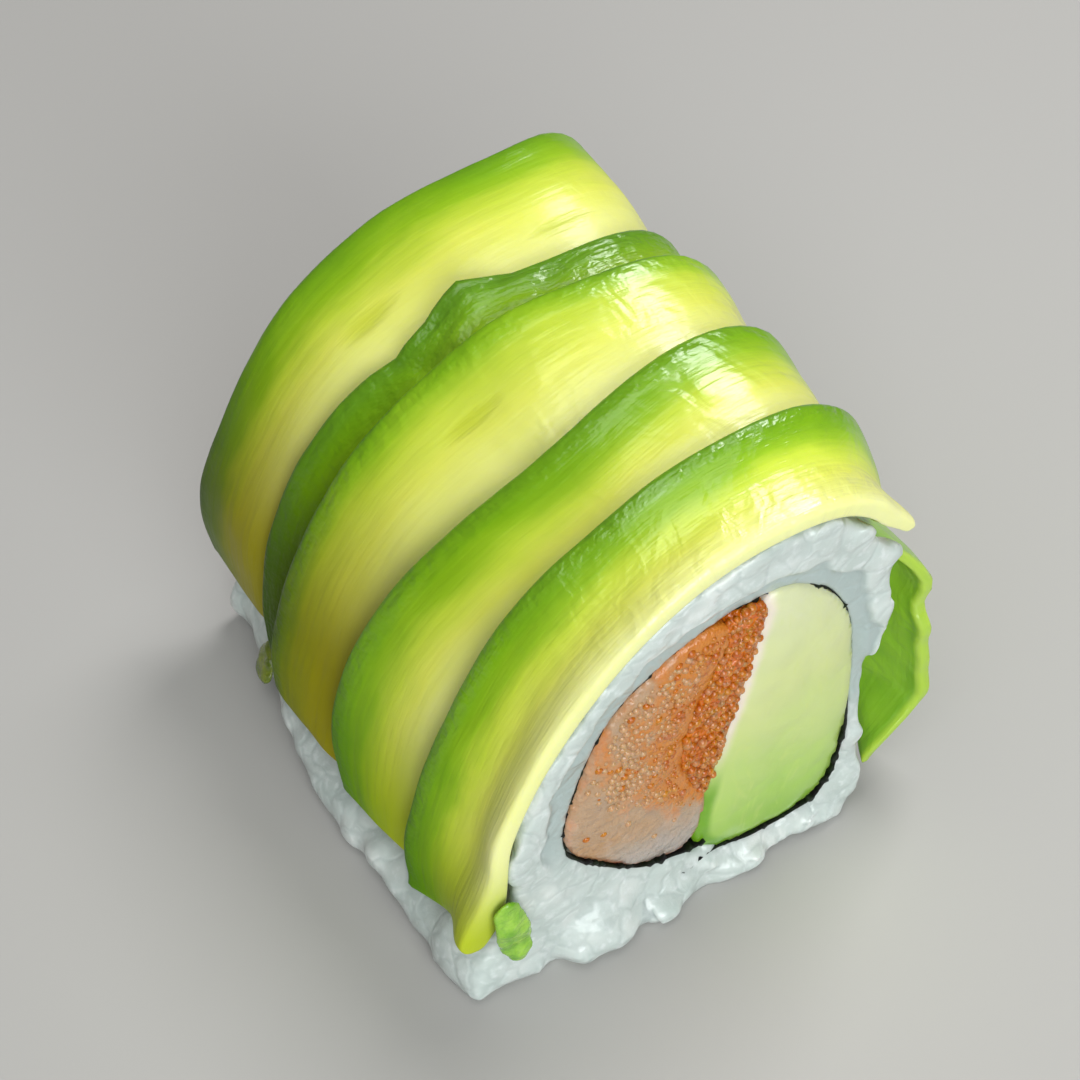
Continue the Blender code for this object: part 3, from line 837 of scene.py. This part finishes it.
LAP_EASING = 1.3
FLARE_HOLD = 0.125
FLARE_RETURN = 0.06
FOLD_SHARE = 0.46
FOLD_SPAN = 0.065
EDGE_STATIONS = (0.05, 0.15, 0.25, 0.35, 0.45, 0.55, 0.65, 0.92)
PLAIN_END = (0.18, 3.0)
FRUIT = (
    paint(236, 238, 164), paint(232, 234, 140), paint(222, 228, 96), paint(196, 216, 66),
    paint(150, 190, 34), paint(122, 170, 16), paint(98, 148, 8),
)
# Multipliers for the slices' left ends: partly the flesh's own browner tone, partly painted shade
OLIVE_END_AND_SHADE = (0.37, 0.10, paint(168, 158, 22))
GREEN_END_AND_SHADE = (0.20, 0.02, paint(194, 208, 76))
PLAIN_SLICE = {
    "fold": 0.0, "tip": 0.0, "point": 0.5, "rounding": PLAIN_END, "ragged": 0.0,
    "flare": (0.0, 0.0, 1.0, 1.0, 1.0), "fruit": FRUIT, "dulled": GREEN_END_AND_SHADE, "dimples": (),
    "glossy": 0.8, "crinkled": 0.3, "speckled": 1.0, "opened": False, "wet_all_over": False,
}
SLICES = (
    {
        "thickness": (0.8, 1.9), "ends": (0.078, 0.092, 0.905, 0.880),
        "front": (9.0, 9.2, 9.0, 7.8, 6.4, 5.7, 5.6, 5.8),
        "rear": (24.6, 24.4, 23.3, 23.8, 23.2, 21.1, 23.0, 23.4),
        "tones": (0.0, 0.35, 0.55, 0.68, 0.78, 0.9, 1.0), "dulled": OLIVE_END_AND_SHADE,
        "dimples": ((0.39, 0.52, 0.035, 0.06), (0.58, 0.40, 0.03, 0.05)),
        "glossy": 0.35, "crinkled": 0.1, "speckled": 0.3,
    },
    {
        "thickness": (0.8, 1.3), "ends": (0.074, 0.080, 0.860, 0.850), "fold": 1.5,
        "front": (4.2, 4.1, 3.8, 2.9, 2.0, 1.8, 1.4, -0.6),
        "rear": (12.4, 12.4, 12.5, 11.8, 9.8, 8.3, 8.8, 9.2),
        "tones": (0.0, 0.5, 0.72, 0.9, 1.0), "fruit": (*FRUIT[3:], paint(90, 138, 6)),
        "dulled": OLIVE_END_AND_SHADE, "crinkled": 0.35, "speckled": 0.8, "wet_all_over": True,
    },
    {
        "thickness": (1.0, 1.7), "ends": (0.060, 0.076, 0.890, 0.870),
        "front": (-4.2, -4.6, -5.4, -7.5, -9.4, -8.2, -7.6, -9.2),
        "rear": (9.1, 8.7, 7.8, 7.2, 6.0, 3.9, 3.5, 1.5),
        "tones": (0.0, 0.3, 0.55, 0.76, 0.87, 0.95, 1.0), "dulled": OLIVE_END_AND_SHADE,
        "dimples": ((0.42, 0.62, 0.035, 0.05),),
    },
    {
        "thickness": (1.0, 1.7), "ends": (0.062, 0.066, 0.974, 0.900),
        "front": (-16.2, -16.1, -16.4, -17.9, -19.2, -18.0, -18.1, -23.2),
        "rear": (-2.4, -1.2, -2.6, -4.9, -6.6, -5.8, -5.6, -6.9),
        "point": 0.4, "rounding": (0.25, 8.0), "ragged": 0.7, "flare": (6.4, 0.70, 0.79, 0.8, 0.12),
        "tones": (0.0, 0.3, 0.48, 0.62, 0.74, 0.86, 1.0), "opened": True,
    },
    {
        "thickness": (1.3, 1.7), "ends": (0.076, 0.062, 0.674, 0.716), "tip": 2.0, "point": 0.1,
        "front": (-FACE,) * len(EDGE_STATIONS), "flare": (0.5, 0.60, 0.67, 1.6, 1.0),
        "rear": (-12.8, -13.0, -13.7, -14.2, -15.2, -15.6, -15.2, -14.6),
        "tones": (0.0, 0.12, 0.36, 0.56, 0.68, 0.82, 1.0),
    },
)

# The flat slab that each slice is draped from, and what rounds and ruffles it
SLAB_LENGTH = 50.0
SLAB_WIDTH = 14.0
SLAB_DEPTH = 1.7
SLAB_STEPS = (124, 48)
SLAB_CROWDING = 0.85
RIM_REACH = 0.75
RIM_BLUNTNESS = 2.4
RIM_LEFT = 0.12
EDGE_BEYOND = 0.55
SINK_INTO_GAP = 0.42
END_UNITS = 32
END_ROUNDNESS = 2.2
END_THINNING = 0.4
RIPPLE_DEPTH = 0.16
CRUMPLE_DEPTH = 0.55


def side_point(height, right, share_back):
    """Return x on an upright side of the roll, below the waist."""
    below = (WAIST - height) / WAIST
    tuck = FOOT_TUCK * max(0.0, 1.0 - height / FOOT_CORNER) ** 2
    if right:
        return ARCH_CENTRE + RIGHT_HALF_WIDTH + RIGHT_FOOT_SPREAD * below - tuck
    flare = 0.75 * ARCH_LEAN * WAIST * below * (1.0 - 0.2 * below)
    tuck += BACK_FOOT_TUCK * ease(share_back, 0.5, 0.95) * below ** 2
    return ARCH_CENTRE - LEFT_HALF_WIDTH - BACK_SPREAD * share_back - flare + tuck


def arch_point(angle, share_back):
    """Return (x, z) on the arch, at an angle of 180 degrees on the left to 0 on the right."""
    width = RIGHT_HALF_WIDTH
    if math.cos(angle) <= 0:
        width = LEFT_HALF_WIDTH + BACK_SPREAD * share_back
    rise = ARCH_RISE - BACK_DROP * share_back
    across = math.copysign(abs(math.cos(angle)) ** (2 / ARCH_POWER), math.cos(angle))
    up = rise * abs(math.sin(angle)) ** (2 / ARCH_POWER)
    lean = ARCH_LEAN * up * (0.75 + 0.25 * up / rise)
    return ARCH_CENTRE + lean + width * across, WAIST + up


class Section:
    """The outer line at one place along the roll, read by its share of the way round."""

    known = {}

    @classmethod
    def at(cls, y):
        """Return the section at this Y, made once for each twentieth of a millimetre."""
        key = round(y * 20)
        if key not in cls.known:
            cls.known[key] = cls(key / 20)
        return cls.known[key]

    def __init__(self, y):
        share_back = (y + FACE) / ROLL_LENGTH
        heights = [WAIST * k / SIDE_STEPS for k in range(SIDE_STEPS)]
        angles = [math.pi * (1 - k / ARCH_STEPS) for k in range(ARCH_STEPS + 1)]
        line = [(side_point(height, False, share_back), height) for height in heights]
        line += [arch_point(angle, share_back) for angle in angles]
        line += [(side_point(height, True, share_back), height) for height in reversed(heights)]
        self.line = [Vector(point) for point in line]
        self.along = [0.0]
        for before, after in zip(self.line, self.line[1:]):
            self.along.append(self.along[-1] + (after - before).length)

    def chord(self, k):
        """Return the line's even direction about its point k."""
        ahead = self.line[min(k + CHORD_STEPS + 1, len(self.line) - 1)]
        return ahead - self.line[max(k - CHORD_STEPS, 0)]

    def off_rice(self, share, height, y):
        """Return the (x, y, z) point at this height over the rice."""
        behind_face = ease(y, -FACE, -FACE + SHOULDER_RUN)
        shoulder = SHOULDER_BULGE * behind_face * bump(share, SHOULDER_SHARE, SHOULDER_SPAN)
        wanted = min(max(share, 0.0), 1.0) * self.along[-1]
        k = min(max(bisect_right(self.along, wanted) - 1, 0), len(self.line) - 2)
        t = (wanted - self.along[k]) / (self.along[k + 1] - self.along[k])
        point = self.line[k].lerp(self.line[k + 1], t)
        ahead = self.chord(k).lerp(self.chord(k + 1), t)
        out = Vector((-ahead.y, ahead.x)).normalized()
        spot = point + out * (shoulder + height - rice_depth(share, y))
        return Vector((spot.x, y, spot.y))


def rice_depth(share, y):
    """Return how far the rice lies inside the outer line."""
    from_face = ease(y, -FACE, -FACE + 4.6) * (1.0 - 0.5 * ease(y, 9.0, 17.0))
    to_foot = ease(share, 0.015, 0.075)
    to_right = ease(share, 0.64, 0.80)
    laps = blend(DEPTH_UNDER_LAPS, DEPTH_AT_RIGHT, to_right)
    at_face = DEPTH_AT_FACE * (1.0 - 0.35 * ease(0.35 - share, 0.0, 0.2))
    at_face *= 1.0 - ease(share, 0.64, 0.70)
    at_face += TIP_SEAT * bump(share, TIP_SEAT_SHARE, TIP_SEAT_SPAN)
    return blend(at_face, laps, from_face) * to_foot * (1.0 - ease(share, 0.93, 0.99))


class Slice:
    """One slice's edges, its heights over the rice, and where its slab's points come to lie."""

    def __init__(self, number, shape, behind):
        self.name = f"avocado_slice_{number}"
        self.seed = 48 + number
        for trait in ("ends", "thickness", "fold", "tip", "point", "rounding", "ragged", "flare"):
            setattr(self, trait, shape[trait])
        self.behind = behind
        self.edges = {edge: smooth_curve(list(zip(EDGE_STATIONS, shape[edge])), 8)
                      for edge in ("front", "rear")}

    def edge(self, edge, share):
        """Return the Y of an edge at this share of the way round."""
        line = self.edges[edge]
        inside = min(max(share, line[0].x), line[-1].x)
        k = 0
        while k < len(line) - 2 and line[k + 1].x < inside:
            k += 1
        y = blend(line[k].y, line[k + 1].y, (inside - line[k].x) / (line[k + 1].x - line[k].x))
        if edge == "rear":
            y += self.fold * bump(share, FOLD_SHARE, FOLD_SPAN)
        return y

    def thickness_at(self, share, across):
        """Return how thick it is: thin in front, thick behind, and swollen at a bare tip."""
        front, rear = self.thickness
        swell = self.tip * (1.0 - ease(share, 0.08, 0.17))
        swell *= 1.0 - ease(across, 0.0, 0.7)
        return blend(front, rear, ease(across, 0.0, 0.45)) + swell

    def lifted(self, share, across):
        """Return how far its front corner on the right stands off the roll."""
        height, low, high, across_span, kept = self.flare
        let_go = high + FLARE_HOLD
        returned = ease(share, let_go, let_go + FLARE_RETURN)
        height *= ease(share, low, high) * blend(1.0, kept, returned)
        return height * (1.0 - ease(across, 0.0, across_span))

    def underside(self, share, across):
        """Return its underside's height: on the rice in front, on the slice behind at its rear."""
        if self.behind is None:
            return GAP
        rest = self.behind.top(share, self.edge("rear", share)) + GAP + LAP_SPARE
        rest += 0.5 * self.fold * bump(share, FOLD_SHARE, FOLD_SPAN)
        climbed = 1.0 - (1.0 - across) ** LAP_EASING
        return GAP + (rest - GAP) * climbed + self.lifted(share, across)

    def top(self, share, y):
        """Return the height of its top at this place."""
        front, rear = self.edge("front", share), self.edge("rear", share)
        across = min(max((y - front) / (rear - front), 0.0), 1.0)
        return self.underside(share, across) + self.thickness_at(share, across)

    def draped(self, flat):
        """Return where a point of the flat slab comes to lie."""
        along, across, level = flat.x / SLAB_LENGTH, flat.y / SLAB_WIDTH, flat.z / SLAB_DEPTH
        from_end = min(along, 1.0 - along) * END_UNITS
        narrowing, reach = self.rounding if along > 0.5 else PLAIN_END
        width = 1.0 - narrowing * max(0.0, 1.0 - from_end / reach) ** END_ROUNDNESS
        fullness = 1.0 - END_THINNING * max(0.0, 1.0 - from_end / END_ROUNDNESS) ** 2.5
        from_rim = min(flat.x, SLAB_LENGTH - flat.x, flat.y, SLAB_WIDTH + EDGE_BEYOND - flat.y)
        beyond_reach = min(max(0.0, 1.0 - from_rim / RIM_REACH), 1.0) ** RIM_BLUNTNESS
        fullness *= max(RIM_LEFT, (1.0 - beyond_reach) ** (1.0 / RIM_BLUNTNESS))
        inside = min(across, 1.0)
        narrow = self.point + (inside - self.point) * width
        left, right = (blend(*ends, inside) for ends in (self.ends[:2], self.ends[2:]))
        share = blend(left, right, along)
        front, rear = self.edge("front", share), self.edge("rear", share)
        torn = self.ragged * ease(along, 0.7, 0.8) * (1.0 - inside)
        torn *= noise((share * 34.0, 7.0, 3.0))
        y = max(blend(front, rear, narrow) + torn + SLAB_WIDTH * (across - inside), -FACE)
        thick = self.thickness_at(share, inside)
        height = self.underside(share, narrow) + thick * (0.5 + (level - 0.5) * fullness)
        height -= SINK_INTO_GAP * (1.0 - level)
        ripple = noise((share * 14.0, y * 0.22, self.seed * 1.7))
        ripple += 0.5 * noise((share * 40.0, y * 0.5, self.seed * 3.1))
        height += RIPPLE_DEPTH * level * ripple
        crumple = noise((share * 40.0, y * 0.45, 21.0))
        crumple += 0.5 * noise((share * 90.0, y * 0.9, 5.0))
        folded = self.fold * bump(share, FOLD_SHARE, 2.0 * FOLD_SPAN)
        height += CRUMPLE_DEPTH * level * crumple * folded
        return Section.at(y).off_rice(share, height, y)


def slice_finish(number, look):
    """Return one slice's finish, from its yellow front to its green rear edge."""
    mat = Finish(f"avocado_{number}", glow=(0.35, 0.0014, (1.0, 0.9, 0.12)),
                 Roughness=0.4, Specular_IOR_Level=0.06, Coat_Roughness=0.22, Coat_IOR=1.8)

    def flesh_spot(scale_long=1.0, scale_wide=1.0, move=(number, 0.0, 0.0)):
        scale = (SLAB_LENGTH * scale_long, SLAB_WIDTH * scale_wide, 1.0)
        return mat.lay(scale=scale, move=move)

    along, across, _ = mat.parts(mat.lay())
    cloud_spot = flesh_spot(move=(number * 31.0, number * 17.0, 0.0))
    clouds = mat.noise(cloud_spot, 0.16, detail=3.0, distortion=0.4)
    streaks = mat.noise(flesh_spot(0.18, move=(number, number, 0.0)), 1.3, detail=4.0)
    shifted = mat.stirred(mat.stirred(across, clouds, 0.24), streaks, 0.08)
    colour = mat.ramp(shifted, list(zip(look["tones"], look["fruit"])))

    # Shallow marks in the yellow flesh
    sunken = 0.0
    for dimple_along, dimple_across, half_long, half_wide in look["dimples"]:
        from_along = mat.math("DIVIDE", mat.math("SUBTRACT", along, dimple_along), half_long)
        from_across = mat.math("DIVIDE", mat.math("SUBTRACT", across, dimple_across), half_wide)
        squares = [mat.math("POWER", part, 2.0) for part in (from_along, from_across)]
        round_it = mat.stirred(mat.math("ADD", *squares), streaks, 1.6)
        sunken = mat.math("ADD", sunken, mat.range(round_it, 1.4, -0.4))
    if look["dimples"]:
        colour = mat.mix(mat.times(sunken, 0.6), colour, paint(188, 200, 40))

    # The flap that stands off the roll shows its darker inner side, with a paler front edge
    if look["opened"]:
        opened = mat.times(mat.range(along, 0.64, 0.72), mat.range(across, 0.7, 0.4))
        inner = mat.ramp(clouds, ((0.35, paint(98, 156, 18)), (0.65, paint(142, 192, 46))))
        colour = mat.mix(opened, colour, inner)
        front_line = mat.times(opened, mat.range(across, 0.05, 0.01))
        colour = mat.mix(front_line, colour, paint(166, 200, 60))
    # The left ends darken towards olive: partly the flesh's own browner tone there, partly painted
    # shade where that side faces away from the light
    end_shade_from, end_shade_to, end_tint_and_shade_tone = look["dulled"]
    colour = mat.mix(mat.range(along, end_shade_from, end_shade_to), colour, end_tint_and_shade_tone, "MULTIPLY")

    # Crinkles over the top, and fine wet specks along the green edge
    crinkle_spot = flesh_spot(1.0, 0.35, (number * 3.0, number * 5.0, 0.0))
    crinkles = mat.noise(crinkle_spot, 0.7, detail=2.5, roughness=0.5, distortion=0.6)
    on_top = mat.times(mat.range(along, 0.3, 0.6), mat.range(clouds, 0.3, 0.6, 0.4, 1.0))
    wet = mat.noise(flesh_spot(1.0, 0.5), 1.4, detail=2.0)
    if not look["wet_all_over"]:
        wet = mat.times(wet, mat.range(across, 0.78, 0.92))
    normal = mat.relief(mat.times(crinkles, on_top), look["crinkled"])
    normal = mat.relief(streaks, 0.12, under=normal)
    normal = mat.relief(wet, 0.3 * look["speckled"], under=normal)
    if look["dimples"]:
        normal = mat.relief(mat.math("SUBTRACT", 1.0, sunken), 0.12, under=normal)

    # It shines on top, and along the green edge on the side as well
    patchy = mat.range(clouds, 0.3, 0.6, 0.5, 1.0)
    shine = mat.times(mat.range(along, 0.3, 0.55, 0.06, look["glossy"]), patchy)
    at_back = mat.times(mat.range(across, 0.78, 0.88), mat.range(along, 0.1, 0.4, 0.12, 0.45))
    return mat.done(colour, normal, Coat_Weight=mat.math("MAXIMUM", shine, at_back))


behind = None
for number, shape in enumerate(SLICES, 1):
    shape = PLAIN_SLICE | shape
    behind = Slice(number, shape, behind)
    width = SLAB_WIDTH + EDGE_BEYOND
    slab = flat_slab(SLAB_LENGTH, width, SLAB_DEPTH, *SLAB_STEPS, SLAB_CROWDING)
    for vert in slab.verts:
        vert.co = behind.draped(vert.co)
    finished(f"slice_{number}", slab, slice_finish(number, shape), "avocado_skin_side", behind.name)


# --- Torn bits of avocado ---
# Two small scraps that came off the slices and stuck to the rice: a bright green one low on
# the front, and a dull one under the back of the left side.

SCRAP_VOXEL = 0.2
SCRAP_RELIEF = 0.25


def crumb_finish(name, dark, light):
    mat = Finish(name, glow=(0.5, 0.001, (1.0, 0.9, 0.2)),
                 Roughness=0.25, Coat_Weight=0.5, Coat_Roughness=0.1)
    spot = mat.place()
    colour = mat.ramp(mat.noise(spot, 0.8, detail=3.0), ((0.35, dark), (0.65, light)))
    return mat.done(colour, mat.relief(mat.noise(spot, 2.0), 0.2))


for node, dark, light in (
    ("avocado_crumb_front", paint(110, 168, 28), paint(160, 206, 70)),
    ("avocado_crumb_side", paint(92, 112, 16), paint(128, 140, 30)),
):
    scrap = remeshed(solid_copy(node), SCRAP_VOXEL)
    for vert in scrap.verts:
        vert.co += vert.normal * SCRAP_RELIEF * noise(vert.co * 0.9)
    soften(scrap, scrap.verts, 2)
    finish = crumb_finish(node + "_flesh", dark, light)
    finished(node.replace("avocado_crumb", "scrap"), scrap, finish, "avocado_skin_side", node)


# --- Table, light and camera ---
# The piece stands on a plain pale table under soft studio light. A small lamp high on the
# right, a little behind, gives the wet shine, and two wide ones fill the cut face and the top.

TABLE_SIZE = 3.0
table_edit = bmesh.new()
bmesh.ops.create_grid(table_edit, x_segments=1, y_segments=1, size=TABLE_SIZE)
table_mesh = as_mesh("table", table_edit)
table_mesh.materials.append(Finish("pale_table", Roughness=0.7).done(paint(178, 177, 174)))
table = placed("table", table_mesh)


def lamp(name, towards, distance, size, energy, colour):
    """Add a square soft lamp that shines on the roll from this direction."""
    light = bpy.data.lights.new(name, "AREA")
    light.size = size
    light.energy = energy
    light.color = colour
    made = placed(name, light)
    made.location = Vector((0.0, 0.0, 0.02)) + Vector(towards).normalized() * distance
    made.rotation_euler = Vector(towards).to_track_quat("Z", "Y").to_euler()


lamp("window", (0.49, 0.18, 0.86), 0.40, 0.17, 0.95, (1.0, 0.99, 0.98))
lamp("front_fill", (-0.2, -0.95, 0.42), 0.55, 0.40, 2.4, (0.96, 0.99, 1.0))
lamp("top_fill", (-0.3, -0.35, 1.0), 0.6, 0.55, 1.5, (1.0, 0.99, 0.97))

world = bpy.data.worlds.new("studio")
world.use_nodes = True
backdrop = world.node_tree.nodes["Background"].inputs
backdrop["Color"].default_value = (0.86, 0.88, 0.90, 1.0)
backdrop["Strength"].default_value = 0.16
bpy.context.scene.world = world
bpy.context.scene.view_settings.view_transform = "Standard"

# The camera stands well above the piece, to the left of its front, and is held a little askew
AZIMUTH = math.radians(-38.21)
ELEVATION = math.radians(49.75)
ROLL = math.radians(5.0)
EYE = Vector((-83.13, -137.19, 223.08))
LOOKS_AT = Vector((1.1, -0.5, 24.2))
LENS = 102.0
flat = math.cos(ELEVATION)
back = Vector((math.sin(AZIMUTH) * flat, -math.cos(AZIMUTH) * flat, math.sin(ELEVATION)))
level_right = Vector((math.cos(AZIMUTH), math.sin(AZIMUTH), 0.0))
level_up = back.cross(level_right)
right = level_right * math.cos(ROLL) + level_up * math.sin(ROLL)
up = level_up * math.cos(ROLL) - level_right * math.sin(ROLL)
turned = Matrix((right, up, back)).transposed()
turned = back.rotation_difference(EYE - LOOKS_AT).to_matrix() @ turned
camera = placed("camera", bpy.data.cameras.new("camera"))
camera.matrix_world = Matrix.Translation(EYE * MM) @ turned.to_4x4()
camera.data.lens = LENS
camera.data.clip_start = 0.01
bpy.context.scene.camera = camera
